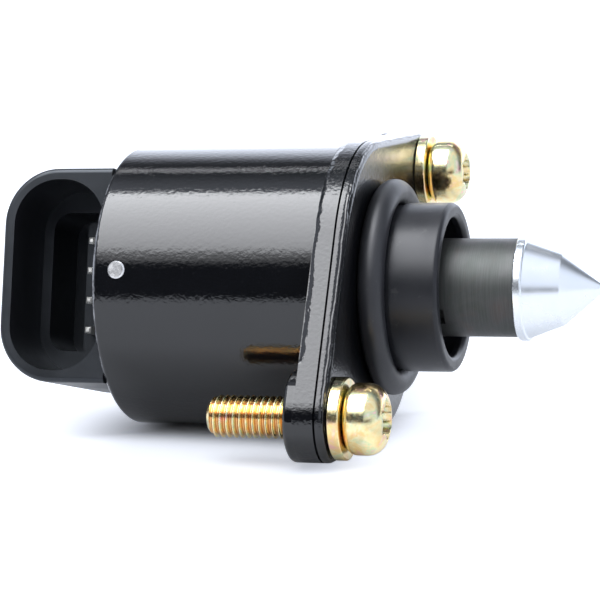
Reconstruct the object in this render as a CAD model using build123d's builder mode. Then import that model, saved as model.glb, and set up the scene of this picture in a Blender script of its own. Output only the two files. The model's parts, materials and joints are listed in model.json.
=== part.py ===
from build123d import *
from math import asin, atan2, cos, degrees, hypot, radians, sin, tan
import os

# Idle air control valve: a two-coil stepper motor in a painted can, a flange with two ears, a nose
# sleeve with its seal, and a cone-tipped pintle that the motor's lead screw drives in and out.
# Millimetres. X runs along the valve's axis towards the pintle's tip. Z is up as the valve lies on
# its can and its near ear. The origin is on the axis, in the flange's front face.

# Fits
slip_fit = 0.05
running_clearance = 0.05
loose_clearance = 0.1

# Motor can
can_diameter = 35.0
can_wall = 1.0
can_edge_round = 0.7

# Retaining pins through the can into the connector housing
pin_count = 3
pin_diameter = 2.15
pin_length = 3.2
pin_proud = 0.15
pin_bevel = 0.15
pin_from_rear = 3.25

# Flange and the plate on its front
flange_thickness = 2.35
flange_middle_diameter = 36.3
flange_spigot_depth = 4.55
ear_radius = 5.2
ear_pad_height = 1.4
ear_pad_radius = 5.6
ear_pad_edge_round = 0.6
bolt_circle = 50.6
front_plate_thickness = 1.5
front_plate_edge_round = 1.0
front_plate_joint_bevel = 0.25

# Flange screws and their washers
screw_diameter = 5.0
screw_shank_diameter = 4.4
screw_length = 16.8
screw_tip_chamfer = 0.7
screw_hole_clearance = 0.2
head_diameter = 8.4
head_height = 4.55
head_front_round = 2.2
head_rear_round = 1.2
socket_core_diameter = 3.7
socket_lobe_diameter = 1.0
socket_lobes = 6
socket_depth = 2.2
washer_diameter = 9.7
washer_thickness = 1.4
washer_edge_round = 0.2

# Seal ring
seal_cord = 3.2
seal_seat_diameter = 20.3
seal_seat_length = 3.4

# Nose sleeve
sleeve_diameter = 20.8
sleeve_reach = 9.3
sleeve_mouth_diameter = 17.1
sleeve_mouth_depth = 3.55
sleeve_lip = 1.2
sleeve_recess_diameter = 18.1
sleeve_rim_round = 0.6
sleeve_collar_diameter = 24.3
guide_length = 9.0
guide_rib_length = 4.0
guide_rib_width = 2.0
guide_rib_height = 0.95
chamber_diameter = 14.0

# Pintle: shaft, tip and lead screw
travel = 7.0
shaft_diameter = 12.05
shaft_bore = 9.5
shaft_reach = 17.45
shaft_length = 17.8
shaft_web = 3.0
shaft_web_from_rear = 7.0
shaft_slot_length = 9.3
collar_diameter = 13.0
collar_width = 1.2
collar_edge_round = 0.3
frustum_base_diameter = 12.3
frustum_length = 4.2
cone_base_diameter = 9.05
cone_length = 5.2
tip_round = 0.5
tip_spigot_length = 3.0
lead_screw_diameter = 4.0
lead_screw_length = 36.5
lead_screw_in_tip = 2.0

# Return spring round the lead screw
spring_diameter = 8.4
spring_wire = 0.7
spring_wire_sides = 6
spring_turns = 6

# Stator: two cups, each with a coil on a bobbin and an inner pole plate
stator_height = 7.72
stator_wall = 1.0
stator_sheet = 0.9
pole_bore_diameter = 16.0
pole_pairs = 6
pole_root_width = 5.0
pole_tip_width = 2.6
pole_gap = 0.3
bobbin_wall = 0.6
winding_margin = 0.8

# Rotor and its bearings
magnet_diameter = 15.0
magnet_end_gap = 0.8
hub_diameter = 9.0
journal_diameter = 6.0
nut_diameter = 6.8
nut_length = 6.8
nut_from_front = 0.6
screw_bore_clearance = 0.3
bush_wall = 1.5
bearing_plate_thickness = 3.0
rear_bush_length = 3.0
thrust_washer_thickness = 0.4
hub_end_gap = 0.1
journal_end_gap = 0.2

# Connector housing, moulded in one with the plug that closes the can
plug_depth = 5.0
connector_turn = 43.2
housing_length = 14.15
housing_end_step = 4.175
housing_corner = 7.0
mouth_distance = 12.0
rim_edge_round = 0.65
housing_back = 11.5
housing_back_round = 2.5
mouth_length = 11.9
mouth_end_wall = 1.425
mouth_corner = 5.6
mouth_depth = 8.6
mouth_draft = 3.0
mouth_rear_wall = 1.45
pocket_side_ledge = 1.3
pocket_end_ledge = 2.6
pocket_corner = 2.4
pocket_depth = 8.0
carrier_end_gap = 0.55
carrier_length = 3.0
carrier_depth = 1.0

# Terminal pins
terminal_count = 4
terminal_pitch = 3.8
terminal_width = 0.8
terminal_tip_depth = 7.0
terminal_bend = 1.5
terminal_tip_chamfer = 0.2
terminal_row = 8.5
terminal_drop = 0.55
terminal_from_can = 5.15
solder_well_depth = 2.0
solder_well_width = 3.2

# Radii that several pieces share
can_r = can_diameter / 2
can_bore_r = can_r - can_wall
plug_r = can_bore_r - slip_fit
bolt_r = bolt_circle / 2
pole_bore_r = pole_bore_diameter / 2
cup_bore_r = plug_r - stator_wall
journal_r = journal_diameter / 2
bush_bore_r = journal_r + running_clearance
bush_r = bush_bore_r + bush_wall
lead_screw_r = lead_screw_diameter / 2
screw_bore_r = lead_screw_r + screw_bore_clearance
shaft_r = shaft_diameter / 2
guide_r = shaft_r + running_clearance
sleeve_r = sleeve_diameter / 2
hub_r = hub_diameter / 2
screw_hole_r = screw_diameter / 2 + screw_hole_clearance

# Stations along the axis, from the front face back to the can's rear edge
plate_rear = -front_plate_thickness
flange_rear = plate_rear - flange_thickness
pad_rear = flange_rear - ear_pad_height
spigot_rear = flange_rear - flange_spigot_depth
bearing_rear = spigot_rear - bearing_plate_thickness
stator_middle = bearing_rear - stator_height
stator_rear = stator_middle - stator_height
can_rear = stator_rear - plug_depth
housing_rear = can_rear - housing_length
screw_front = shaft_reach + lead_screw_in_tip
screw_rear = screw_front - lead_screw_length
screw_drawn_back = screw_rear - travel - loose_clearance

# The near ear and the can touch one level floor, which sets the slope of the ear line
ear_angle = degrees(asin((can_r - ear_radius) / bolt_r))
mouth_angle = ear_angle + 180 - connector_turn


def outward(angle):
    """Unit vector away from the axis, at an angle from +Y towards +Z."""
    return Vector(0, cos(radians(angle)), sin(radians(angle)))


def cross_plane(x):
    """Plane square to the axis, with its local x along the ear line."""
    return Plane(origin=(x, 0, 0), x_dir=outward(ear_angle), z_dir=(1, 0, 0))


def radial_plane(angle, distance, x=0.0):
    """Plane that faces away from the axis, with its local x along the axis."""
    return Plane(origin=Vector(x, 0, 0) + outward(angle) * distance, x_dir=(1, 0, 0), z_dir=outward(angle))


def ear_plane(x, angle):
    """Plane square to the axis, centred on an ear's hole."""
    return Plane(origin=Vector(x, 0, 0) + outward(angle) * bolt_r, x_dir=outward(angle), z_dir=(1, 0, 0))


def turned(outline):
    """A piece turned about the valve's axis from a half section of (x, radius) points."""
    with BuildPart() as piece:
        with BuildSketch(Plane.XY):
            with BuildLine():
                Polyline(*outline, close=True)
            make_face()
        revolve(axis=Axis.X)
    return piece


def ring(rear, front, inner_r, outer_r):
    """A plain ring about the valve's axis."""
    return turned([(rear, inner_r), (rear, outer_r), (front, outer_r), (front, inner_r)])


def write(piece, name):
    """Names a finished piece and writes it."""
    piece.part.label = name
    export_step(piece.part, f"parts/{name}.step")


def flange_outline(x, pad_at=None):
    """The flange's outline: a round middle and two ears joined by tangent sides, with the screw holes.
    With pad_at it is only the pad round that ear's hole."""
    lean = degrees(asin((flange_middle_diameter / 2 - ear_radius) / bolt_r))
    with BuildSketch(cross_plane(x)) as outline:
        with BuildLine():
            middle = CenterArc((0, 0), flange_middle_diameter / 2, 90 - lean, lean)
            ear = CenterArc((bolt_r, 0), ear_radius, 0, 90 - lean)
            Line(middle @ 0, ear @ 1)
            mirror(about=Plane.XZ)
            mirror(about=Plane.YZ)
        make_face()
        if pad_at is not None:
            with Locations((pad_at, 0)):
                Circle(ear_pad_radius, mode=Mode.INTERSECT)
        with Locations((bolt_r, 0), (-bolt_r, 0)):
            Circle(screw_hole_r, mode=Mode.SUBTRACT)
    return outline.sketch


os.makedirs("parts", exist_ok=True)

# Motor can: a drawn tube with a rounded rear edge and holes for the retaining pins
pin_angles = [mouth_angle + turn * 360 / pin_count for turn in range(pin_count)]
pin_x = can_rear + pin_from_rear
pin_r = pin_diameter / 2

with BuildPart() as motor_can:
    with BuildSketch(cross_plane(can_rear)):
        Circle(can_r)
        Circle(can_bore_r, mode=Mode.SUBTRACT)
    extrude(amount=flange_rear - can_rear)
    rear_edges = motor_can.edges().filter_by(GeomType.CIRCLE).group_by(Axis.X)[0]
    fillet(rear_edges.sort_by(SortBy.RADIUS)[-1], min(can_edge_round, 0.9 * can_wall))
    for angle in pin_angles:
        with BuildSketch(radial_plane(angle, can_bore_r - can_wall, pin_x)):
            Circle(pin_r + slip_fit)
        extrude(amount=3 * can_wall, mode=Mode.SUBTRACT)
write(motor_can, "motor_can")

# Retaining pins, with bevelled heads just proud of the can
with BuildPart() as retaining_pins:
    for angle in pin_angles:
        with BuildSketch(radial_plane(angle, can_r + pin_proud - pin_length, pin_x)):
            Circle(pin_r)
        extrude(amount=pin_length)
        head_centre = Vector(pin_x, 0, 0) + outward(angle) * (can_r + pin_proud)
        head = retaining_pins.faces().filter_by(GeomType.PLANE).sort_by_distance(head_centre)[0]
        chamfer(head.edges(), pin_bevel)
write(retaining_pins, "retaining_pins")

# Mounting flange: plate, ear pads towards the rear, and the spigot that carries the can
with BuildPart() as mounting_flange:
    extrude(flange_outline(flange_rear), amount=flange_thickness)
    for ear_x in (bolt_r, -bolt_r):
        extrude(flange_outline(flange_rear, pad_at=ear_x), amount=-ear_pad_height)
    for pad_face in mounting_flange.faces().filter_by(Axis.X).group_by(Axis.X)[0]:
        fillet(pad_face.outer_wire().edges(), min(ear_pad_edge_round, 0.8 * ear_pad_height))
    with BuildSketch(cross_plane(flange_rear)):
        Circle(plug_r)
    extrude(amount=-flange_spigot_depth)
    with BuildSketch(cross_plane(spigot_rear)):
        Circle(sleeve_collar_diameter / 2 + slip_fit)
    extrude(amount=plate_rear - spigot_rear, mode=Mode.SUBTRACT)
write(mounting_flange, "mounting_flange")

# Front plate: same outline, with a soft front edge, a bevel that shows the joint, and a hole for the sleeve
with BuildPart() as front_plate:
    extrude(flange_outline(plate_rear), amount=front_plate_thickness)
    front_rim = front_plate.faces().sort_by(Axis.X)[-1].outer_wire()
    fillet(front_rim.edges(), min(front_plate_edge_round, 0.7 * front_plate_thickness))
    joint_rim = front_plate.faces().sort_by(Axis.X)[0].outer_wire()
    chamfer(joint_rim.edges(), min(front_plate_joint_bevel, 0.2 * front_plate_thickness))
    with BuildSketch(cross_plane(plate_rear)):
        Circle(sleeve_r + loose_clearance)
    extrude(amount=front_plate_thickness, mode=Mode.SUBTRACT)
write(front_plate, "front_plate")

# Nose sleeve: a collar held behind the front plate, a seat for the seal ring, and inside it a lipped
# mouth, the guide bore for the pintle's shaft with two ribs that stop it turning, and a chamber
mouth_bottom = sleeve_reach - sleeve_mouth_depth
guide_rear = mouth_bottom - guide_length
collar_r = sleeve_collar_diameter / 2
seat_r = seal_seat_diameter / 2
mouth_r = sleeve_mouth_diameter / 2
recess_r = sleeve_recess_diameter / 2
lip_rear = sleeve_reach - sleeve_lip
chamber_r = chamber_diameter / 2
rib_centre = guide_r - guide_rib_height / 2 + slip_fit

with BuildPart() as nose_sleeve:
    with BuildSketch(Plane.XY):
        with BuildLine():
            Polyline(
                (spigot_rear, chamber_r), (spigot_rear, collar_r), (plate_rear, collar_r),
                (plate_rear, seat_r), (seal_seat_length, seat_r), (seal_seat_length, sleeve_r),
                (sleeve_reach, sleeve_r), (sleeve_reach, mouth_r),
                (lip_rear, mouth_r), (lip_rear, recess_r),
                (mouth_bottom, recess_r), (mouth_bottom, guide_r), (guide_rear, guide_r),
                (guide_rear, chamber_r), close=True)
        make_face()
    revolve(axis=Axis.X)
    rim_edges = nose_sleeve.edges().filter_by(GeomType.CIRCLE).group_by(Axis.X)[-1]
    fillet(rim_edges, sleeve_rim_round)
    with BuildSketch(cross_plane(guide_rear)):
        with Locations((rib_centre, 0), (-rib_centre, 0)):
            Rectangle(guide_rib_height + 2 * slip_fit, guide_rib_width)
    extrude(amount=guide_rib_length)
write(nose_sleeve, "nose_sleeve")

# Seal ring, against the front plate and round the sleeve's seat
with BuildPart() as seal_ring:
    with BuildSketch(Plane.XY):
        with Locations((seal_cord / 2, seat_r + seal_cord / 2)):
            Circle(seal_cord / 2)
    revolve(axis=Axis.X)
write(seal_ring, "seal_ring")


# Flange screws, put in from the nose side, and their plain washers. Their shank is thinner than the
# thread, which starts behind the ear's pad
def flange_screw(angle):
    with BuildPart() as screw:
        with BuildSketch(ear_plane(washer_thickness, angle)):
            Circle(head_diameter / 2)
        extrude(amount=head_height)
        head_edges = screw.edges().filter_by(GeomType.CIRCLE).sort_by(Axis.X)
        fillet(head_edges[-1], head_front_round)
        fillet(head_edges[0], head_rear_round)
        with BuildSketch(ear_plane(washer_thickness, angle)):
            Circle(screw_shank_diameter / 2)
        extrude(amount=pad_rear - washer_thickness)
        with BuildSketch(ear_plane(pad_rear, angle)):
            Circle(screw_diameter / 2)
        extrude(amount=washer_thickness - screw_length - pad_rear)
        tip_edge = screw.edges().filter_by(GeomType.CIRCLE).sort_by(Axis.X)[0]
        chamfer(tip_edge, screw_tip_chamfer)
        with BuildSketch(ear_plane(washer_thickness + head_height, angle)):
            Circle(socket_core_diameter / 2)
            with PolarLocations(socket_core_diameter / 2, socket_lobes):
                Circle(socket_lobe_diameter / 2)
        extrude(amount=-socket_depth, mode=Mode.SUBTRACT)
    return screw


def screw_washer(angle):
    with BuildPart() as washer:
        with BuildSketch(ear_plane(0, angle)):
            Circle(washer_diameter / 2)
            Circle(screw_hole_r, mode=Mode.SUBTRACT)
        extrude(amount=washer_thickness)
        rims = washer.edges().filter_by(GeomType.CIRCLE).group_by(SortBy.RADIUS)[-1]
        fillet(rims, min(washer_edge_round, 0.4 * washer_thickness))
    return washer


for side, angle in (("far", ear_angle), ("near", ear_angle + 180)):
    write(flange_screw(angle), f"flange_screw_{side}")
    write(screw_washer(angle), f"screw_washer_{side}")

# Terminal pins: each runs straight down from the mouth, bends, and ends in the plug's solder well
terminal_x = can_rear - terminal_from_can
terminal_end = stator_rear - solder_well_depth / 2
tip_distance = mouth_distance - terminal_tip_depth
terminal_offsets = [
    terminal_pitch * (row - (terminal_count - 1) / 2) - terminal_drop for row in range(terminal_count)]
mouth_normal = outward(mouth_angle)
tall_axis = radial_plane(mouth_angle, 0).y_dir


def terminal_pin(offset, grow=0.0):
    """A pin at a height along the mouth, grown all round where it is used to cut its own passage."""
    across = Vector(1, 0, 0).cross(mouth_normal)
    path_plane = Plane(origin=tall_axis * offset, x_dir=(1, 0, 0), z_dir=across)
    with BuildPart() as pin:
        with BuildLine(path_plane) as path:
            FilletPolyline(
                (terminal_x, tip_distance), (terminal_x, -terminal_row), (terminal_end, -terminal_row),
                radius=terminal_bend)
        tip = mouth_normal * tip_distance + tall_axis * offset + Vector(terminal_x, 0, 0)
        with BuildSketch(Plane(origin=tip, x_dir=(1, 0, 0), z_dir=-mouth_normal)):
            Rectangle(terminal_width + 2 * grow, terminal_width + 2 * grow)
        sweep(path=path.line)
        if grow == 0.0:
            tip_face = pin.faces().sort_by_distance(tip)[0]
            chamfer(tip_face.edges(), terminal_tip_chamfer)
    return pin


for number, offset in enumerate(terminal_offsets, start=1):
    write(terminal_pin(offset), f"terminal_pin_{number}")

# Connector housing: plug in the can, and behind it one rounded body with the mouth at its side
housing_height = can_diameter - 2 * housing_end_step
mouth_height = housing_height - 2 * mouth_end_wall
mouth_centre_x = housing_rear + mouth_rear_wall + mouth_length / 2
mouth_bottom_distance = mouth_distance - mouth_depth
floor_shrink = mouth_depth * tan(radians(mouth_draft))
pocket_length = mouth_length - 2 * (floor_shrink + pocket_side_ledge)
pocket_height = mouth_height - 2 * (floor_shrink + pocket_end_ledge)
carrier_height = pocket_height - 2 * carrier_end_gap
carrier_top = mouth_bottom_distance - carrier_depth
pocket_bottom = mouth_bottom_distance - pocket_depth
bush_well_depth = rear_bush_length + journal_end_gap


with BuildPart() as connector_housing:
    with BuildSketch(radial_plane(mouth_angle, -housing_back)) as housing_outline:
        with Locations(((housing_rear + can_rear) / 2, 0)):
            Rectangle(can_rear - housing_rear, housing_height)
        fillet(housing_outline.vertices().group_by(Axis.X)[0], housing_corner)
    extrude(amount=housing_back + mouth_distance)
    outward_faces = connector_housing.faces().sort_by(Axis((0, 0, 0), mouth_normal))
    fillet(outward_faces[0].edges().sort_by(Axis.X)[:-1], housing_back_round)
    rim = connector_housing.faces().sort_by(Axis((0, 0, 0), mouth_normal))[-1]
    fillet(rim.edges().sort_by(Axis.X)[:-1], rim_edge_round)
    with BuildSketch(cross_plane(can_rear)):
        Circle(plug_r)
    extrude(amount=plug_depth)
    with BuildSketch(radial_plane(mouth_angle, mouth_distance)):
        with Locations((mouth_centre_x, 0)):
            RectangleRounded(mouth_length, mouth_height, mouth_corner)
    extrude(amount=-mouth_depth, taper=mouth_draft, mode=Mode.SUBTRACT)
    with BuildSketch(radial_plane(mouth_angle, mouth_bottom_distance)):
        with Locations((mouth_centre_x, 0)):
            RectangleRounded(pocket_length, pocket_height, pocket_corner)
    extrude(amount=-pocket_depth, mode=Mode.SUBTRACT)
    with BuildSketch(radial_plane(mouth_angle, pocket_bottom)):
        with Locations((terminal_x, -terminal_drop)):
            RectangleRounded(carrier_length, carrier_height, carrier_length / 4)
    extrude(amount=carrier_top - pocket_bottom)
    with BuildSketch(radial_plane(mouth_angle, -terminal_row, stator_rear)):
        with Locations((-solder_well_depth / 2, -terminal_drop)):
            Rectangle(solder_well_depth, terminal_pitch * terminal_count)
    extrude(amount=solder_well_width / 2, both=True, mode=Mode.SUBTRACT)
    for offset in terminal_offsets:
        add(terminal_pin(offset, slip_fit).part, mode=Mode.SUBTRACT)
    with BuildSketch(cross_plane(stator_rear)):
        Circle(bush_r + slip_fit)
    extrude(amount=-bush_well_depth, mode=Mode.SUBTRACT)
    with BuildSketch(cross_plane(stator_rear)):
        Circle(screw_bore_r)
    extrude(amount=-max(bush_well_depth, stator_rear - screw_drawn_back), mode=Mode.SUBTRACT)
    for angle in pin_angles:
        with BuildSketch(radial_plane(angle, can_r + pin_proud - pin_length - slip_fit, pin_x)):
            Circle(pin_r + slip_fit)
        extrude(amount=pin_length, mode=Mode.SUBTRACT)
write(connector_housing, "connector_housing")

# Stator: each half has a cup with claw poles and a plate whose poles stand between them
pole_length = stator_height - stator_sheet - pole_gap
pole_pitch = 360 / pole_pairs
plate_r = cup_bore_r - slip_fit


def claw_poles(start, inward, first_angle):
    """Tapered poles round the bore, from their sheet at start, along the axis."""
    with BuildPart() as poles:
        for pole in range(pole_pairs):
            with BuildSketch(radial_plane(first_angle + pole * pole_pitch, pole_bore_r, start)):
                with BuildLine():
                    Polyline(
                        (0, -pole_root_width / 2), (inward * pole_length, -pole_tip_width / 2),
                        (inward * pole_length, pole_tip_width / 2), (0, pole_root_width / 2), close=True)
                make_face()
            extrude(amount=stator_sheet)
    return poles.part


def stator_cup(closed_end, inward, first_angle):
    with BuildPart() as cup:
        with BuildSketch(cross_plane(closed_end)):
            Circle(plug_r)
            Circle(pole_bore_r, mode=Mode.SUBTRACT)
        extrude(amount=inward * stator_sheet)
        with BuildSketch(cross_plane(closed_end)):
            Circle(plug_r)
            Circle(cup_bore_r, mode=Mode.SUBTRACT)
        extrude(amount=inward * stator_height)
        add(claw_poles(closed_end, inward, first_angle))
    return cup


def pole_plate(outward_side, first_angle):
    with BuildPart() as plate:
        with BuildSketch(cross_plane(stator_middle)):
            Circle(plate_r)
            Circle(pole_bore_r, mode=Mode.SUBTRACT)
        extrude(amount=outward_side * stator_sheet)
        add(claw_poles(stator_middle, outward_side, first_angle))
    return plate


half_pitch = pole_pitch / 2
phase_shift = half_pitch / 2
write(stator_cup(bearing_rear, -1, 0), "front_stator_cup")
write(stator_cup(stator_rear, 1, phase_shift), "rear_stator_cup")
write(pole_plate(1, half_pitch), "front_pole_plate")
write(pole_plate(-1, half_pitch + phase_shift), "rear_pole_plate")

# Bobbins and windings, one pair in each cup, outside the claw poles
bobbin_bore_r = hypot(pole_bore_r + stator_sheet, pole_root_width / 2) + loose_clearance
bobbin_core_r = bobbin_bore_r + bobbin_wall
bobbin_flange_r = cup_bore_r - loose_clearance
half_height = stator_height / 2
for half, middle in (("front", stator_middle + half_height), ("rear", stator_middle - half_height)):
    bobbin_half = stator_height / 2 - stator_sheet - slip_fit
    coil_half = bobbin_half - bobbin_wall
    bobbin = turned([
        (middle - bobbin_half, bobbin_bore_r), (middle - bobbin_half, bobbin_flange_r),
        (middle - coil_half, bobbin_flange_r), (middle - coil_half, bobbin_core_r),
        (middle + coil_half, bobbin_core_r), (middle + coil_half, bobbin_flange_r),
        (middle + bobbin_half, bobbin_flange_r), (middle + bobbin_half, bobbin_bore_r)])
    write(bobbin, f"{half}_bobbin")
    winding = ring(middle - coil_half, middle + coil_half, bobbin_core_r, bobbin_flange_r - winding_margin)
    write(winding, f"{half}_winding")

# Bearing plate and bushes
write(ring(bearing_rear, spigot_rear, bush_r + slip_fit, plug_r), "bearing_plate")
write(ring(bearing_rear, spigot_rear, bush_bore_r, bush_r), "front_bush")
write(ring(stator_rear - rear_bush_length, stator_rear, bush_bore_r, bush_r), "rear_bush")
hub_front = bearing_rear - thrust_washer_thickness - hub_end_gap
hub_rear = stator_rear + thrust_washer_thickness + hub_end_gap
front_thrust_rear = bearing_rear - thrust_washer_thickness
write(ring(front_thrust_rear, bearing_rear, bush_bore_r, bush_r), "front_thrust_washer")
write(ring(stator_rear, stator_rear + thrust_washer_thickness, bush_bore_r, bush_r), "rear_thrust_washer")

# Rotor: hub with hollow journals, the nut moulded into it, and the ring magnet
nut_front = hub_front - nut_from_front
nut_rear = nut_front - nut_length
nut_pocket_r = nut_diameter / 2 + slip_fit
journal_rear = stator_rear - rear_bush_length
rotor_hub = turned([
    (journal_rear, screw_bore_r), (journal_rear, journal_r), (hub_rear, journal_r), (hub_rear, hub_r),
    (hub_front, hub_r), (hub_front, journal_r), (spigot_rear - journal_end_gap, journal_r),
    (spigot_rear - journal_end_gap, screw_bore_r), (nut_front, screw_bore_r), (nut_front, nut_pocket_r),
    (nut_rear, nut_pocket_r), (nut_rear, screw_bore_r)])
write(rotor_hub, "rotor_hub")
write(ring(nut_rear, nut_front, lead_screw_r + running_clearance, nut_diameter / 2), "rotor_nut")
magnet_rear = stator_rear + magnet_end_gap
magnet_front = bearing_rear - magnet_end_gap
write(ring(magnet_rear, magnet_front, hub_r + slip_fit / 2, magnet_diameter / 2), "rotor_magnet")

# Pintle shaft: a tube with a web for the lead screw, and slots for the guide ribs
shaft_rear = shaft_reach - shaft_length
web_rear = shaft_rear + shaft_web_from_rear
bore_r = shaft_bore / 2
screw_seat_r = lead_screw_r + slip_fit / 2

with BuildPart() as pintle_shaft:
    with BuildSketch(Plane.XY):
        with BuildLine():
            Polyline(
                (shaft_rear, bore_r), (shaft_rear, shaft_r), (shaft_reach, shaft_r), (shaft_reach, bore_r),
                (web_rear + shaft_web, bore_r), (web_rear + shaft_web, screw_seat_r),
                (web_rear, screw_seat_r), (web_rear, bore_r), close=True)
        make_face()
    revolve(axis=Axis.X)
    with BuildSketch(cross_plane(shaft_rear)):
        with Locations((shaft_r, 0), (-shaft_r, 0)):
            Rectangle(2 * (guide_rib_height + loose_clearance), guide_rib_width + 2 * loose_clearance)
    extrude(amount=shaft_slot_length, mode=Mode.SUBTRACT)
write(pintle_shaft, "pintle_shaft")

# Pintle tip: a collar that seats on the shaft, a blunt frustum and a pointed cone with a small round end
spigot_r = bore_r - slip_fit / 2
collar_front = shaft_reach + collar_width
frustum_front = collar_front + frustum_length
cone_base_r = cone_base_diameter / 2
cone_slope = atan2(cone_base_r, cone_length)
round_centre = frustum_front + cone_length - tip_round / sin(cone_slope)

with BuildPart() as pintle_tip:
    with BuildSketch(Plane.XY):
        with BuildLine():
            Polyline(
                (round_centre + tip_round, 0), (screw_front, 0), (screw_front, screw_seat_r),
                (shaft_reach - tip_spigot_length, screw_seat_r),
                (shaft_reach - tip_spigot_length, spigot_r),
                (shaft_reach, spigot_r), (shaft_reach, collar_diameter / 2),
                (collar_front, collar_diameter / 2),
                (collar_front, frustum_base_diameter / 2), (frustum_front, cone_base_r),
                (round_centre + tip_round * sin(cone_slope), tip_round * cos(cone_slope)))
            ThreePointArc(
                (round_centre + tip_round * sin(cone_slope), tip_round * cos(cone_slope)),
                (round_centre + tip_round * cos(cone_slope / 2), tip_round * sin(cone_slope / 2)),
                (round_centre + tip_round, 0))
        make_face()
    revolve(axis=Axis.X)
    collar_rims = pintle_tip.edges().filter_by(GeomType.CIRCLE).group_by(SortBy.RADIUS)[-1]
    fillet(collar_rims, min(collar_edge_round, 0.4 * collar_width))
write(pintle_tip, "pintle_tip")

# Lead screw, from the tip back through the web, the spring and the rotor's nut
with BuildPart() as lead_screw:
    with BuildSketch(cross_plane(screw_rear)):
        Circle(lead_screw_r)
    extrude(amount=lead_screw_length)
write(lead_screw, "lead_screw")

# Return spring between the front bush and the shaft's web
spring_r = (spring_diameter - spring_wire) / 2
spring_rear = spigot_rear + spring_wire / 2 + slip_fit
spring_length = web_rear - spring_wire / 2 - slip_fit - spring_rear

with BuildPart() as return_spring:
    with BuildLine() as coil:
        Helix(spring_length / spring_turns, spring_length, spring_r, (spring_rear, 0, 0), (1, 0, 0))
    with BuildSketch(Plane(origin=coil.line @ 0, z_dir=coil.line % 0)):
        RegularPolygon(spring_wire / 2, spring_wire_sides)
    sweep(path=coil.line, is_frenet=True)
write(return_spring, "return_spring")
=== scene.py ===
import bmesh
import bpy
import json
import math
from mathutils import Matrix, Vector


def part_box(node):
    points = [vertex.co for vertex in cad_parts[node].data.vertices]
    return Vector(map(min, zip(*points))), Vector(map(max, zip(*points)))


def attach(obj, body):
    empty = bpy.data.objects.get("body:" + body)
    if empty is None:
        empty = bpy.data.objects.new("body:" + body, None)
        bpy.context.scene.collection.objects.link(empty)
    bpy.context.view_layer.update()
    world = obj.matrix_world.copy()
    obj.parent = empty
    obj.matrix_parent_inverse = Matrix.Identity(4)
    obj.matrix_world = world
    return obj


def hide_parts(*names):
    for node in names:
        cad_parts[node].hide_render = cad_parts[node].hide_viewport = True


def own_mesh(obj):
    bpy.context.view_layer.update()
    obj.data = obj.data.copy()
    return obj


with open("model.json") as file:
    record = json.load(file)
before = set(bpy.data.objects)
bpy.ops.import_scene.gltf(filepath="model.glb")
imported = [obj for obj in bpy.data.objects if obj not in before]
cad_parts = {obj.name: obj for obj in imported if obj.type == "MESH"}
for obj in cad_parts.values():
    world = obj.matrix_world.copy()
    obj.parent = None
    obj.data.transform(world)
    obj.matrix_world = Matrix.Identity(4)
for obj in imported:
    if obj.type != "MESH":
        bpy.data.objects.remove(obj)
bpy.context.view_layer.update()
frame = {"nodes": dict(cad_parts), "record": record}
nodes = frame["nodes"]
scene = bpy.context.scene
MM = 0.001

# Places on the part, in its own frame
FLANGE_REAR = -3.85 * MM
PAD_REAR = -5.25 * MM
WEB_REAR = 6.65 * MM
NEAR_EAR_IN_FRONT = 22.1 * MM
EAR_PAD_FROM = 24.6 * MM
CAN_RADIUS = 17.5 * MM
CAN_REAR = -31.84 * MM

# Threads. The form is in pitches, the crease in degrees
SCREW_THREAD = {"outer": 2.5 * MM, "pitch": 0.8 * MM, "tip_bevel": 0.7 * MM, "around": 72, "per_turn": 14}
LEAD_THREAD = {"outer": 2.0 * MM, "pitch": 1.0 * MM, "tip_bevel": 0.4 * MM, "around": 32, "per_turn": 8}
THREAD_DEPTH = 0.6
THREAD_CREST = 0.07
THREAD_FLANK = 0.32
THREAD_CREASE = 42.0
PLAIN_CREASE = 35.0
SAME_POINT = 1e-7
SAME_PLANE = 1e-6

# Return spring. The closed end turns rise by just over two wire radii each
WIRE_RADIUS = 0.35 * MM
COIL_RADIUS = 3.85 * MM
SPRING_TURNS = 7.6
CLOSED_TURNS = 0.9
CLOSED_PITCH = 2.1 * WIRE_RADIUS
SPRING_AROUND = 40
WIRE_SIDES = 12

# Studio, in metres. The glows are strengths of the floor's own light, to the camera and in reflections
FLOOR_WIDTH = 6.0
FLOOR_LENGTH = 3.35
FLOOR_FRONT = -0.35
SEEN_GLOW = 0.5
SEEN_GLOW_PAST_ENDS = 0.32
MIRRORED_GLOW = 0.55
TIP_GLOW = 0.15
SOFTBOX_DISTANCE = 0.6
SOFTBOX_COLOUR = (0.94, 0.96, 1.0)
DARK_ROOM_SHARE = 0.93

# Camera, fitted to the photograph's measured points: degrees, metres, and pixels of a square picture
AZIMUTH = 16.446
ELEVATION = 7.805
ROLL = -1.881
DISTANCE = 287.93 * MM
AIM_X = -0.1 * MM
AIM_RIGHT = -7.397 * MM
AIM_UP = -0.247 * MM
PICTURE_SIDE = 600
FOCAL_PIXELS = 2322.99
SHIFT_X_PIXELS = -22.49
SHIFT_Y_PIXELS = -9.19
SENSOR_WIDTH = 36.0


# Node helpers

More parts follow.
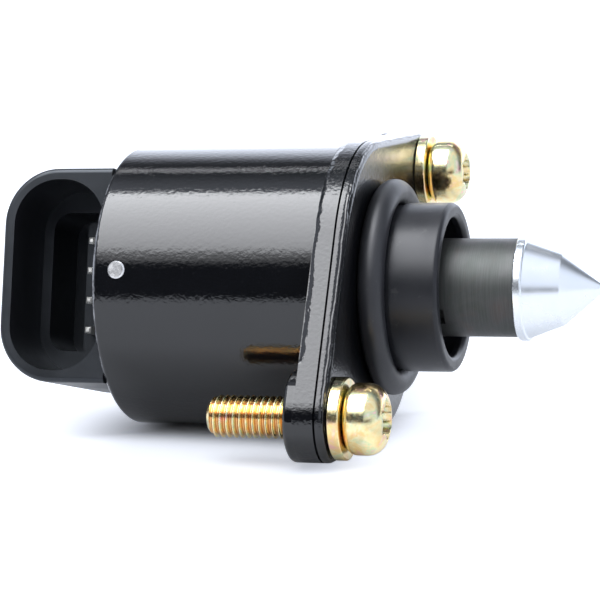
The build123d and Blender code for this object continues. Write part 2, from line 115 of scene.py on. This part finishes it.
class Nodes:
    """A node tree with a few shortcuts."""

    def __init__(self, tree):
        self.tree = tree

    def node(self, kind, **settings):
        made = self.tree.nodes.new(kind)
        for key, value in settings.items():
            setattr(made, key, value)
        return made

    def feed(self, socket, value):
        if isinstance(value, bpy.types.NodeSocket):
            self.tree.links.new(value, socket)
        else:
            socket.default_value = value

    def component(self, vector, name):
        made = self.node("ShaderNodeSeparateXYZ")
        self.feed(made.inputs["Vector"], vector)
        return made.outputs[name]

    def math(self, operation, a, b=0.0):
        made = self.node("ShaderNodeMath", operation=operation)
        self.feed(made.inputs[0], a)
        self.feed(made.inputs[1], b)
        return made.outputs[0]

    def span(self, value, low, high, to_low=0.0, to_high=1.0):
        """A smooth step of a value between two limits."""
        made = self.node("ShaderNodeMapRange", interpolation_type="SMOOTHSTEP")
        self.feed(made.inputs["Value"], value)
        made.inputs["From Min"].default_value = low
        made.inputs["From Max"].default_value = high
        made.inputs["To Min"].default_value = to_low
        made.inputs["To Max"].default_value = to_high
        return made.outputs["Result"]

    def ramp(self, value, stops):
        """Colours at rising places between 0 and 1."""
        made = self.node("ShaderNodeValToRGB")
        self.feed(made.inputs["Fac"], value)
        points = made.color_ramp.elements
        while len(points) < len(stops):
            points.new(0.5)
        for point, (at, colour) in zip(points, stops):
            point.position = at
            point.color = (*colour, 1.0)
        return made.outputs["Color"]

    def ray_is(self, kind):
        return self.node("ShaderNodeLightPath").outputs[f"Is {kind} Ray"]

    def mirror_ray(self):
        """1 for rays that mirror or pass through, else 0."""
        return self.math("MAXIMUM", self.ray_is("Glossy"), self.ray_is("Transmission"))


class Paint(Nodes):
    """A material with the principled shader. Coordinates are the part's own, in metres."""

    def __init__(self, name):
        self.material = bpy.data.materials.new(name)
        self.material.use_nodes = True
        super().__init__(self.material.node_tree)
        self.shader = self.tree.nodes["Principled BSDF"]
        self.place = self.node("ShaderNodeTexCoord").outputs["Object"]

    def set(self, **values):
        """Plain numbers and colours on the shader's own sockets."""
        for key, value in values.items():
            self.shader.inputs[key.replace("_", " ")].default_value = value

    def axis(self, name):
        return self.component(self.place, name)

    def stretched(self, scale):
        """The part's coordinates, scaled along each axis."""
        made = self.node("ShaderNodeMapping")
        self.feed(made.inputs["Vector"], self.place)
        made.inputs["Scale"].default_value = scale
        return made.outputs["Vector"]

    def noise(self, scale, detail=2.0, roughness=0.5, at=None, distortion=0.0):
        """Soft noise about 0.5, with scale features to the metre."""
        made = self.node("ShaderNodeTexNoise")
        self.feed(made.inputs["Vector"], self.place if at is None else at)
        made.inputs["Scale"].default_value = scale
        made.inputs["Detail"].default_value = detail
        made.inputs["Roughness"].default_value = roughness
        made.inputs["Distortion"].default_value = distortion
        return made.outputs["Fac"]

    def mix(self, share, a, b):
        made = self.node("ShaderNodeMix", data_type="RGBA")
        self.feed(made.inputs["Factor"], share)
        for socket, colour in ((made.inputs["A"], a), (made.inputs["B"], b)):
            self.feed(socket, colour if isinstance(colour, bpy.types.NodeSocket) else (*colour, 1.0))
        return made.outputs["Result"]

    def colour(self, value):
        self.feed(self.shader.inputs["Base Color"], value)

    def rough(self, value):
        self.feed(self.shader.inputs["Roughness"], value)

    def bump(self, *layers):
        """Height layers, each a socket and its depth in metres."""
        below = None
        for height, depth in layers:
            made = self.node("ShaderNodeBump")
            made.inputs["Strength"].default_value = 1.0
            made.inputs["Distance"].default_value = depth
            self.feed(made.inputs["Height"], height)
            if below is not None:
                self.feed(made.inputs["Normal"], below)
            below = made.outputs["Normal"]
        self.feed(self.shader.inputs["Normal"], below)


# Materials, one for each slot of the record

def distance_from_axis(p):
    across = p.axis("Y")
    upward = p.axis("Z")
    squares = p.math("ADD", p.math("MULTIPLY", across, across), p.math("MULTIPLY", upward, upward))
    return p.math("SQRT", squares)


def rear_edge_painted_highlight(p, from_axis):
    """1 where a painted highlight lies in a patchy line on the rounding of the can's rear edge, else 0."""
    outside = p.span(from_axis, CAN_RADIUS - 0.52 * MM, CAN_RADIUS - 0.42 * MM)
    inside = p.span(from_axis, CAN_RADIUS - 0.12 * MM, CAN_RADIUS - 0.04 * MM, 1.0, 0.0)
    at_rear = p.span(p.axis("X"), CAN_REAR + 0.5 * MM, CAN_REAR + 0.6 * MM, 1.0, 0.0)
    patchy = p.span(p.noise(500.0, 4.0, 0.65), 0.38, 0.62, 0.12, 1.0)
    return p.math("MULTIPLY", p.math("MULTIPLY", outside, inside), p.math("MULTIPLY", at_rear, patchy))


def rear_edge_slope(p, from_axis):
    """0 on the flange, down a ragged slope to -1 at its rear edge, between the ear pads only."""
    inside_ears = p.span(from_axis, EAR_PAD_FROM - 0.3 * MM, EAR_PAD_FROM + 0.3 * MM, 1.0, 0.0)
    width = p.span(p.noise(420.0, 4.0, 0.65), 0.3, 0.7, 0.35 * MM, 0.85 * MM)
    along = p.math("DIVIDE", p.math("SUBTRACT", p.axis("X"), FLANGE_REAR), width)
    return p.math("MULTIPLY", inside_ears, p.span(along, 0.0, 1.0, -1.0, 0.0))


def front_edge_ridge(p):
    """1 on a wavering line round the front plate's edge, just behind its face, else 0."""
    behind_face = p.span(p.noise(300.0, 3.0), 0.3, 0.7, 0.28 * MM, 0.42 * MM)
    off_ridge = p.math("ABSOLUTE", p.math("ADD", p.axis("X"), behind_face))
    return p.span(off_ridge, 0.0, 0.2 * MM, 1.0, 0.0)


def black_paint():
    p = Paint("black_paint")
    peel = p.noise(900.0, 2.0, 0.5)
    fine = p.noise(2100.0, 3.0, 0.6)
    on_flange = p.span(p.axis("X"), FLANGE_REAR - 0.2 * MM, FLANGE_REAR)
    lumps = p.math("MULTIPLY", p.noise(2300.0, 3.0, 0.6), on_flange)
    cloud = p.noise(140.0, 4.0, 0.6)
    speck = p.span(p.noise(2600.0, 2.0, 0.6), 0.68, 0.74)
    from_axis = distance_from_axis(p)
    base = p.ramp(cloud, [(0.3, (0.0024, 0.0027, 0.0038)), (0.75, (0.0045, 0.0050, 0.0068))])
    base = p.mix(p.math("MULTIPLY", speck, 0.35), base, (0.03, 0.031, 0.036))
    # Painted highlight: lighter grey in a patchy line on the rounding of the can's rear edge
    p.colour(p.mix(rear_edge_painted_highlight(p, from_axis), base, (0.34, 0.35, 0.39)))
    p.rough(p.math("ADD", p.span(cloud, 0.35, 0.75, 0.03, 0.06), p.math("MULTIPLY", speck, 0.12)))
    p.set(IOR=1.6)
    ridge = front_edge_ridge(p)
    slope = rear_edge_slope(p, from_axis)
    p.bump((peel, 6.0e-6), (fine, 2.2e-5), (lumps, 4.0e-5), (ridge, 1.0e-4), (slope, 2.6e-4))
    return p.material


def connector_plastic():
    p = Paint("connector_plastic")
    cloud = p.noise(160.0, 4.0, 0.6)
    grain = p.noise(5200.0, 2.0, 0.6)
    scratches = p.noise(900.0, 5.0, 0.7, at=p.stretched((1.0, 0.35, 0.35)), distortion=0.6)
    scuffed = p.span(p.noise(90.0, 2.0), 0.45, 0.65)
    scuff = p.math("MULTIPLY", p.span(scratches, 0.60, 0.74), scuffed)
    base = p.ramp(cloud, [(0.3, (0.0062, 0.0066, 0.0082)), (0.75, (0.0105, 0.011, 0.0135))])
    p.colour(p.mix(p.math("MULTIPLY", scuff, 0.6), base, (0.075, 0.075, 0.082)))
    p.rough(p.math("ADD", p.span(cloud, 0.3, 0.8, 0.34, 0.46), p.math("MULTIPLY", scuff, 0.15)))
    p.set(IOR=1.5, Specular_IOR_Level=0.54, Specular_Tint=(0.85, 0.92, 1.0, 1.0))
    p.bump((grain, 3.0e-6), (cloud, 1.2e-5))
    return p.material


def sleeve_plastic():
    p = Paint("sleeve_plastic")
    cloud = p.noise(210.0, 4.0, 0.6)
    grain = p.noise(4200.0, 2.0, 0.55)
    turned = p.noise(240.0, 2.0, 0.5, at=p.stretched((14.0, 0.6, 0.6)))
    rub = p.span(p.noise(520.0, 5.0, 0.7), 0.58, 0.72)
    base = p.ramp(cloud, [(0.3, (0.0105, 0.0115, 0.0155)), (0.75, (0.016, 0.017, 0.0225))])
    p.colour(p.mix(p.math("MULTIPLY", rub, 0.35), base, (0.07, 0.069, 0.072)))
    p.rough(p.span(cloud, 0.3, 0.8, 0.33, 0.44))
    p.set(Specular_IOR_Level=0.41)
    p.bump((grain, 2.5e-6), (turned, 4.0e-6))
    return p.material


def seal_rubber():
    p = Paint("seal_rubber")
    cloud = p.noise(260.0, 4.0, 0.6)
    grain = p.noise(6000.0, 2.0, 0.6)
    dust = p.span(p.noise(1500.0, 4.0, 0.7), 0.60, 0.78)
    base = p.ramp(cloud, [(0.3, (0.0125, 0.0135, 0.0175)), (0.75, (0.019, 0.020, 0.0255))])
    p.colour(p.mix(p.math("MULTIPLY", dust, 0.35), base, (0.075, 0.076, 0.08)))
    p.rough(p.span(cloud, 0.3, 0.8, 0.40, 0.52))
    p.set(IOR=1.48, Specular_IOR_Level=0.62)
    p.bump((grain, 3.0e-6), (cloud, 1.0e-5))
    return p.material


def yellow_zinc():
    """Gold plating with a rainbow and painted shade that darkens it down in the threads, whose depth is in
    the mesh.
    """
    p = Paint("yellow_zinc")
    wide = p.noise(330.0, 3.0, 0.55, distortion=0.8)
    small = p.noise(1500.0, 3.0, 0.6)
    rub = p.noise(2600.0, 3.0, 0.6)
    gold = p.ramp(wide, [(0.30, (0.92, 0.54, 0.46)), (0.42, (0.91, 0.66, 0.28)), (0.52, (0.92, 0.78, 0.42)),
                         (0.60, (0.70, 0.76, 0.46)), (0.67, (0.92, 0.60, 0.52))])
    gold = p.mix(p.span(small, 0.45, 0.75, 0.0, 0.45), gold, (0.95, 0.90, 0.72))
    valley = p.node("ShaderNodeAttribute", attribute_name="valley").outputs["Fac"]
    # Painted shade: darker orange down in the thread valleys, deepest at the roots
    p.colour(p.mix(p.span(valley, 0.25, 0.95, 0.0, 0.8), gold, (0.62, 0.27, 0.085)))
    p.rough(p.span(rub, 0.3, 0.7, 0.13, 0.26))
    p.set(Metallic=1.0)
    p.bump((rub, 2.0e-6), (wide, 4.0e-6))
    return p.material


def bright_steel():
    p = Paint("bright_steel")
    cloud = p.noise(700.0, 4.0, 0.6)
    p.colour(p.ramp(cloud, [(0.3, (0.74, 0.74, 0.75)), (0.7, (0.88, 0.88, 0.89))]))
    p.rough(p.span(cloud, 0.3, 0.7, 0.18, 0.32))
    p.set(Metallic=0.75)
    p.bump((p.noise(3000.0, 2.0), 2.0e-6))
    return p.material


def tinned_terminal():
    p = Paint("tinned_terminal")
    cloud = p.noise(900.0, 3.0, 0.6)
    p.colour(p.ramp(cloud, [(0.3, (0.80, 0.79, 0.75)), (0.7, (0.92, 0.91, 0.88))]))
    p.rough(p.span(cloud, 0.3, 0.7, 0.30, 0.44))
    p.set(Metallic=0.6)
    p.bump((p.noise(4000.0, 2.0), 1.5e-6))
    return p.material


def dark_steel():
    p = Paint("dark_steel")
    stain = p.noise(200.0, 4.0, 0.6, distortion=1.2)
    lines = p.noise(500.0, 3.0, 0.6, at=p.stretched((16.0, 0.5, 0.5)))
    base = p.ramp(stain, [(0.28, (0.086, 0.072, 0.066)), (0.45, (0.076, 0.077, 0.075)),
                          (0.60, (0.069, 0.076, 0.070)), (0.75, (0.094, 0.078, 0.074))])
    p.colour(p.mix(p.span(lines, 0.35, 0.7, 0.0, 0.5), base, (0.108, 0.109, 0.110)))
    p.rough(p.span(stain, 0.3, 0.75, 0.44, 0.58))
    p.set(Metallic=0.7)
    p.bump((lines, 3.0e-6))
    return p.material


def tip_metal():
    p = Paint("tip_metal")
    cloud = p.noise(220.0, 3.0, 0.6)
    lines = p.noise(700.0, 3.0, 0.6, at=p.stretched((14.0, 0.5, 0.5)))
    base = p.ramp(cloud, [(0.3, (0.87, 0.92, 0.97)), (0.7, (0.92, 0.95, 0.98))])
    p.colour(p.mix(p.span(lines, 0.35, 0.7, 0.0, 0.4), base, (0.95, 0.97, 0.99)))
    p.rough(p.span(cloud, 0.3, 0.75, 0.21, 0.30))
    p.set(Metallic=1.0)
    p.bump((lines, 1.6e-6))
    return p.material


def stator_steel():
    p = Paint("stator_steel")
    cloud = p.noise(300.0, 5.0, 0.65)
    p.colour(p.ramp(cloud, [(0.3, (0.42, 0.43, 0.45)), (0.5, (0.52, 0.53, 0.54)), (0.7, (0.60, 0.60, 0.58))]))
    p.rough(p.span(cloud, 0.3, 0.7, 0.30, 0.46))
    p.set(Metallic=1.0)
    p.bump((p.noise(2400.0, 3.0), 4.0e-6))
    return p.material


def bobbin_plastic():
    p = Paint("bobbin_plastic")
    cloud = p.noise(240.0, 4.0, 0.6)
    p.colour(p.ramp(cloud, [(0.3, (0.66, 0.62, 0.53)), (0.7, (0.76, 0.72, 0.63))]))
    p.rough(p.span(cloud, 0.3, 0.7, 0.38, 0.50))
    p.set(Subsurface_Weight=0.12)
    p.bump((p.noise(3000.0, 2.0), 3.0e-6))
    return p.material


def copper_wire():
    p = Paint("copper_wire")
    turns = p.node("ShaderNodeTexWave", wave_type="BANDS", bands_direction="X")
    p.feed(turns.inputs["Vector"], p.place)
    turns.inputs["Scale"].default_value = 1250.0
    turns.inputs["Distortion"].default_value = 1.5
    wire = turns.outputs["Fac"]
    p.colour(p.mix(wire, (0.28, 0.085, 0.030), (0.72, 0.32, 0.14)))
    p.rough(p.span(wire, 0.0, 1.0, 0.42, 0.26))
    p.set(Metallic=1.0, Coat_Weight=0.6)
    p.bump((wire, 5.0e-5))
    return p.material


def bronze():
    p = Paint("bronze")
    pores = p.span(p.noise(5000.0, 3.0, 0.6), 0.60, 0.72)
    cloud = p.noise(350.0, 3.0)
    base = p.ramp(cloud, [(0.3, (0.52, 0.36, 0.16)), (0.7, (0.64, 0.46, 0.23))])
    p.colour(p.mix(pores, base, (0.20, 0.13, 0.06)))
    p.rough(p.span(cloud, 0.3, 0.7, 0.32, 0.45))
    p.set(Metallic=1.0)
    p.bump((pores, -6.0e-6))
    return p.material


def magnet():
    p = Paint("magnet")
    cloud = p.noise(400.0, 5.0, 0.65)
    p.colour(p.ramp(cloud, [(0.3, (0.055, 0.055, 0.058)), (0.7, (0.090, 0.090, 0.094))]))
    p.rough(p.span(cloud, 0.3, 0.7, 0.50, 0.66))
    p.set(Metallic=0.3)
    p.bump((p.noise(2500.0, 4.0), 8.0e-6))
    return p.material


materials = {
    "black_paint": black_paint(), "bright_steel": bright_steel(), "sleeve_plastic": sleeve_plastic(),
    "seal_rubber": seal_rubber(), "connector_plastic": connector_plastic(), "yellow_zinc": yellow_zinc(),
    "stator_steel": stator_steel(), "bobbin_plastic": bobbin_plastic(), "copper_wire": copper_wire(),
    "bronze": bronze(), "magnet": magnet(), "dark_steel": dark_steel(), "tip_metal": tip_metal(),
    "tinned_terminal": tinned_terminal(),
}
slot_of = {row["node"]: row["material_slot"] for row in frame["record"]["subparts"]}


def paint(piece, slot):
    piece.data.materials.clear()
    piece.data.materials.append(materials[slot])


for name, piece in nodes.items():
    paint(piece, slot_of[name])


# Pieces with detail that the solids leave out

def add_piece(name, work, body, slot, *stands_for, crease=PLAIN_CREASE):
    """A piece from the mesh being worked on, in place of the solids it stands for."""
    mesh = bpy.data.meshes.new(name)
    work.to_mesh(mesh)
    work.free()
    mesh.shade_smooth()
    mesh.set_sharp_from_angle(angle=math.radians(crease))
    piece = bpy.data.objects.new(name, mesh)
    scene.collection.objects.link(piece)
    paint(piece, slot)
    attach(piece, body)
    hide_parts(*stands_for)
    return piece


def clamped(value):
    return min(max(value, 0.0), 1.0)


def join_rings(work, rings):
    """A closed skin over a row of rings, each with the same number of points."""
    around = len(rings[0])
    for a, b in zip(rings, rings[1:]):
        for k in range(around):
            n = (k + 1) % around
            work.faces.new((a[k], a[n], b[n], b[k]))
    work.faces.new(rings[-1])
    work.faces.new(list(reversed(rings[0])))


def add_thread(work, centre, start, end, outer, pitch, tip_bevel, around, per_turn, plain_to=None):
    """A right-hand screw thread along -X, as rings of points that follow its 60 degree form. It is left
    plain in front of plain_to."""
    depth = THREAD_DEPTH * pitch
    valley = work.verts.layers.float.new("valley")
    steps = int(abs(end - start) / (pitch / per_turn))
    rings = []
    for row in range(steps + 1):
        x = start + (end - start) * row / steps
        cut = depth if plain_to is None else depth * clamped((plain_to - x) / pitch)
        ring = []
        for k in range(around):
            turn = 2 * math.pi * k / around
            from_crest = abs((x / pitch + k / around) % 1.0 - 0.5)
            fall = clamped((from_crest - THREAD_CREST) / THREAD_FLANK)
            radius = min(outer - cut * fall, outer - tip_bevel + abs(x - end))
            y = centre.y + radius * math.cos(turn)
            z = centre.z + radius * math.sin(turn)
            point = work.verts.new((x, y, z))
            point[valley] = fall * cut / depth
            ring.append(point)
        rings.append(ring)
    join_rings(work, rings)


def threaded_screw(side):
    """The screw's solid in front of its thread, with a real thread behind the ear."""
    low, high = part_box(f"flange_screw_{side}")
    work = bmesh.new()
    work.from_mesh(nodes[f"flange_screw_{side}"].data)
    bmesh.ops.remove_doubles(work, verts=work.verts, dist=SAME_POINT)
    behind = [f for f in work.faces if min(v.co.x for v in f.verts) < PAD_REAR - SAME_PLANE]
    bmesh.ops.delete(work, geom=behind, context="FACES")
    add_thread(work, (low + high) / 2, PAD_REAR, low.x, **SCREW_THREAD)
    name = f"threaded_screw_{side}"
    add_piece(name, work, "housing", "yellow_zinc", f"flange_screw_{side}", crease=THREAD_CREASE)


def threaded_lead_screw():
    """The lead screw with its 1 mm thread behind the shaft's web."""
    low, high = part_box("lead_screw")
    work = bmesh.new()
    add_thread(work, Vector((0.0, 0.0, 0.0)), high.x, low.x, **LEAD_THREAD, plain_to=WEB_REAR)
    add_piece("threaded_lead_screw", work, "pintle", "bright_steel", "lead_screw", crease=THREAD_CREASE)


def round_wire_spring():
    """The return spring in round wire, its end turns closed."""
    low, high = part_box("return_spring")
    first = low.x + WIRE_RADIUS
    last = high.x - WIRE_RADIUS
    closed_rise = CLOSED_TURNS * CLOSED_PITCH
    open_rise = last - first - 2 * closed_rise
    open_turns = SPRING_TURNS - 2 * CLOSED_TURNS
    along = Vector((1.0, 0.0, 0.0))
    work = bmesh.new()
    rings = []
    for step in range(int(SPRING_TURNS * SPRING_AROUND) + 1):
        turn = step / SPRING_AROUND
        rise = open_rise * clamped((turn - CLOSED_TURNS) / open_turns)
        rear_end = min(turn / CLOSED_TURNS, 1.0)
        front_end = max((turn - SPRING_TURNS) / CLOSED_TURNS + 1.0, 0.0)
        rise += closed_rise * (rear_end + front_end)
        spin = 2 * math.pi * turn
        outward = Vector((0.0, math.cos(spin), math.sin(spin)))
        centre = Vector((first + rise, 0.0, 0.0)) + outward * COIL_RADIUS
        ring = []
        for k in range(WIRE_SIDES):
            round_wire = 2 * math.pi * k / WIRE_SIDES
            offset = outward * math.cos(round_wire) + along * math.sin(round_wire)
            ring.append(work.verts.new(centre + offset * WIRE_RADIUS))
        rings.append(ring)
    join_rings(work, rings[::-1])
    bmesh.ops.recalc_face_normals(work, faces=work.faces)
    spring = add_piece("round_wire_spring", work, "housing", "bright_steel", "return_spring")
    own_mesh(spring)


threaded_screw("near")
threaded_screw("far")
threaded_lead_screw()
round_wire_spring()


# Studio: pale floor that the flange and the can's rear edge touch, soft light, white surroundings

def plane(name, centre, across, along, width, length, material):
    """A rectangle about a centre, with its sides along two directions."""
    u = Vector(across).normalized() * width / 2
    v = Vector(along).normalized() * length / 2
    c = Vector(centre)
    mesh = bpy.data.meshes.new(name)
    mesh.from_pydata([c - u - v, c + u - v, c + u + v, c - u + v], [], [(0, 1, 2, 3)])
    mesh.uv_layers.new(name="flat")
    for loop, place in zip(mesh.uv_layers["flat"].data, ((0, 0), (1, 0), (1, 1), (0, 1))):
        loop.uv = place
    mesh.materials.append(material)
    made = bpy.data.objects.new(name, mesh)
    scene.collection.objects.link(made)
    return made


def floor_height(x):
    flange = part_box("front_plate")
    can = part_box("motor_can")
    rise = (can[0].z - flange[0].z) / (can[0].x - flange[0].x)
    return flange[0].z + rise * (x - flange[0].x)


def floor_paint():
    """A pale floor that glows outside the part's shadow, which is wider in reflections than to the camera."""
    p = Paint("floor")
    p.colour(p.ramp(p.noise(3.0, 2.0), [(0.3, (0.76, 0.785, 0.83)), (0.7, (0.78, 0.80, 0.85))]))
    p.set(Roughness=0.7, Specular_IOR_Level=0.2, Emission_Color=(0.86, 0.90, 1.0, 1.0))
    x = p.axis("X")
    y = p.axis("Y")
    from_contact = p.math("ABSOLUTE", y)
    past_front = p.span(x, -6.0 * MM, 4.0 * MM)
    past_rear = p.span(x, -27.0 * MM, -42.0 * MM)
    past_ends = p.math("MAXIMUM", past_front, past_rear)

    seen = p.math("MAXIMUM", p.span(from_contact, 5.5 * MM, 15.0 * MM), past_ends)
    more_past_ends = p.math("MULTIPLY", past_ends, SEEN_GLOW_PAST_ENDS)
    seen = p.math("ADD", p.math("MULTIPLY", seen, SEEN_GLOW), more_past_ends)
    seen = p.math("MULTIPLY", seen, p.ray_is("Camera"))

    from_ear = p.math("ABSOLUTE", p.math("ADD", y, NEAR_EAR_IN_FRONT))
    from_flange = p.math("ABSOLUTE", p.math("SUBTRACT", x, FLANGE_REAR / 2))
    off_flange = p.span(from_flange, 3.0 * MM, 9.0 * MM)
    off_ear = p.math("MAXIMUM", p.span(from_ear, 3.0 * MM, 14.0 * MM), off_flange)
    less_under_tip = p.span(x, 8.0 * MM, 20.0 * MM, 1.0, 0.4)
    mirrored = p.math("MAXIMUM", p.span(from_contact, 13.0 * MM, 34.0 * MM), past_ends)
    mirrored = p.math("MULTIPLY", mirrored, p.math("MULTIPLY", off_ear, less_under_tip))
    past_tip = p.math("MULTIPLY", p.span(x, 16.0 * MM, 30.0 * MM), TIP_GLOW)
    mirrored = p.math("ADD", p.math("MULTIPLY", mirrored, MIRRORED_GLOW), past_tip)
    mirrored = p.math("MULTIPLY", mirrored, p.mirror_ray())

    p.feed(p.shader.inputs["Emission Strength"], p.math("ADD", seen, mirrored))
    return p.material


def softbox(name, low_angle, high_angle, x, width, profile):
    """A softbox round the part, seen from it between two angles above the floor in front. The profile gives
    its strength from its lower to its upper edge. It only shows in reflections."""
    glow = bpy.data.materials.new(name)
    glow.use_nodes = True
    glow.node_tree.nodes.clear()
    n = Nodes(glow.node_tree)
    brightest = max(level for _, level in profile)
    stops = [(at, [part * level / brightest for part in SOFTBOX_COLOUR]) for at, level in profile]
    upward = n.component(n.node("ShaderNodeUVMap").outputs["UV"], "Y")
    light = n.node("ShaderNodeEmission")
    n.feed(light.inputs["Color"], n.ramp(upward, stops))
    light.inputs["Strength"].default_value = brightest
    n.feed(n.node("ShaderNodeOutputMaterial").inputs["Surface"], light.outputs["Emission"])

    angle = math.radians((low_angle + high_angle) / 2)
    length = 2 * SOFTBOX_DISTANCE * math.tan(math.radians((high_angle - low_angle) / 2))
    centre = (x, -math.cos(angle) * SOFTBOX_DISTANCE, math.sin(angle) * SOFTBOX_DISTANCE)
    along = (0.0, math.sin(angle), math.cos(angle))
    box = plane(name, centre, (1.0, 0.0, 0.0), along, width, length, glow)
    box.visible_camera = False
    box.visible_diffuse = False
    box.visible_shadow = False


def lamp(name, way, spread, strength, colour):
    """A far, wide lamp that lights the whole floor evenly. The softbox stands for it in reflections."""
    data = bpy.data.lights.new(name, "SUN")
    data.energy = strength
    data.angle = math.radians(spread)
    data.color = colour
    made = bpy.data.objects.new(name, data)
    made.rotation_mode = "QUATERNION"
    made.rotation_quaternion = Vector(way).to_track_quat("Z", "Y")
    scene.collection.objects.link(made)
    made.visible_glossy = False


floor_centre = (0.0, FLOOR_FRONT + FLOOR_LENGTH / 2, floor_height(0.0))
floor_tilt = (1.0, 0.0, floor_height(1.0) - floor_height(0.0))
plane("floor", floor_centre, across=floor_tilt, along=(0.0, 1.0, 0.0),
      width=FLOOR_WIDTH, length=FLOOR_LENGTH, material=floor_paint())
softbox("softbox", low_angle=26.0, high_angle=89.0, x=-0.22, width=0.62,
        profile=[(0.0, 0.6), (0.13, 1.6), (0.20, 5.2), (0.32, 6.3), (0.75, 9.5), (1.0, 11.0)])
softbox("strip", low_angle=116.2, high_angle=117.3, x=-0.1, width=0.5, profile=[(0.0, 9.0), (1.0, 9.0)])
lamp("key", way=(-0.35, -0.60, 0.90), spread=70.0, strength=1.15, colour=(0.96, 0.98, 1.0))
lamp("fill", way=(0.75, -0.45, 0.70), spread=70.0, strength=0.45, colour=(0.93, 0.96, 1.0))


# Surroundings: white to the camera, an even pale light on the part, and a room that only reflections show

def background(n, colour, strength):
    made = n.node("ShaderNodeBackground")
    made.inputs["Color"].default_value = (*colour, 1.0)
    n.feed(made.inputs["Strength"], strength)
    return made.outputs["Background"]


def choice(n, share, otherwise, chosen):
    made = n.node("ShaderNodeMixShader")
    for socket, value in zip(made.inputs, (share, otherwise, chosen)):
        n.feed(socket, value)
    return made.outputs["Shader"]


def mirrored_room(n):
    """The room's strength by direction: bright far behind the part, dim above, and dark in front of it on the
    left and near the floor."""
    way = n.node("ShaderNodeTexCoord").outputs["Generated"]
    y = n.component(way, "Y")
    towards_back = n.span(y, 0.58, 0.86, 0.20, 2.6)
    above_front = n.span(y, 0.0, 0.42, 0.85, 0.0)
    in_front = n.span(y, -0.60, -0.35, 1.0, 0.0)
    to_left = n.span(n.component(way, "X"), 0.05, 0.35, 1.0, 0.0)
    near_level = n.span(n.component(way, "Z"), 0.07, 0.18, 0.92, 0.0)
    dark = n.math("MULTIPLY", in_front, n.math("MAXIMUM", to_left, near_level))
    left_over = n.math("SUBTRACT", 1.0, n.math("MULTIPLY", dark, DARK_ROOM_SHARE))
    return n.math("MULTIPLY", n.math("ADD", towards_back, above_front), left_over)


world = bpy.data.worlds.new("studio")
scene.world = world
world.use_nodes = True
world.node_tree.nodes.clear()
sky = Nodes(world.node_tree)
white = background(sky, colour=(1.0, 1.0, 1.0), strength=1.0)
mirrored = background(sky, colour=(0.84, 0.90, 1.03), strength=mirrored_room(sky))
ambient = background(sky, colour=(0.95, 0.97, 1.0), strength=0.6)
on_part = choice(sky, sky.mirror_ray(), ambient, mirrored)
surface = choice(sky, sky.ray_is("Camera"), on_part, white)
sky.feed(sky.node("ShaderNodeOutputWorld").inputs["Surface"], surface)


# Camera

azimuth = math.radians(AZIMUTH)
elevation = math.radians(ELEVATION)
roll = math.radians(ROLL)
level = math.cos(elevation)
back = Vector((math.sin(azimuth) * level, -math.cos(azimuth) * level, math.sin(elevation)))
right = Vector((math.cos(azimuth), math.sin(azimuth), 0.0))
up = back.cross(right)
aim = Vector((AIM_X, 0.0, 0.0)) + right * AIM_RIGHT + up * AIM_UP
rolled_right = right * math.cos(roll) + up * math.sin(roll)
rolled_up = up * math.cos(roll) - right * math.sin(roll)
turn = Matrix((rolled_right, rolled_up, back)).transposed()
camera = bpy.data.objects.new("camera", bpy.data.cameras.new("camera"))
scene.collection.objects.link(camera)
camera.matrix_world = Matrix.Translation(aim + back * DISTANCE) @ turn.to_4x4()
camera.data.sensor_width = SENSOR_WIDTH
camera.data.lens = FOCAL_PIXELS / PICTURE_SIDE * SENSOR_WIDTH
camera.data.shift_x = SHIFT_X_PIXELS / PICTURE_SIDE
camera.data.shift_y = SHIFT_Y_PIXELS / PICTURE_SIDE
camera.data.clip_start = 0.01
camera.data.clip_end = 20.0
scene.camera = camera
scene.view_settings.view_transform = "Standard"
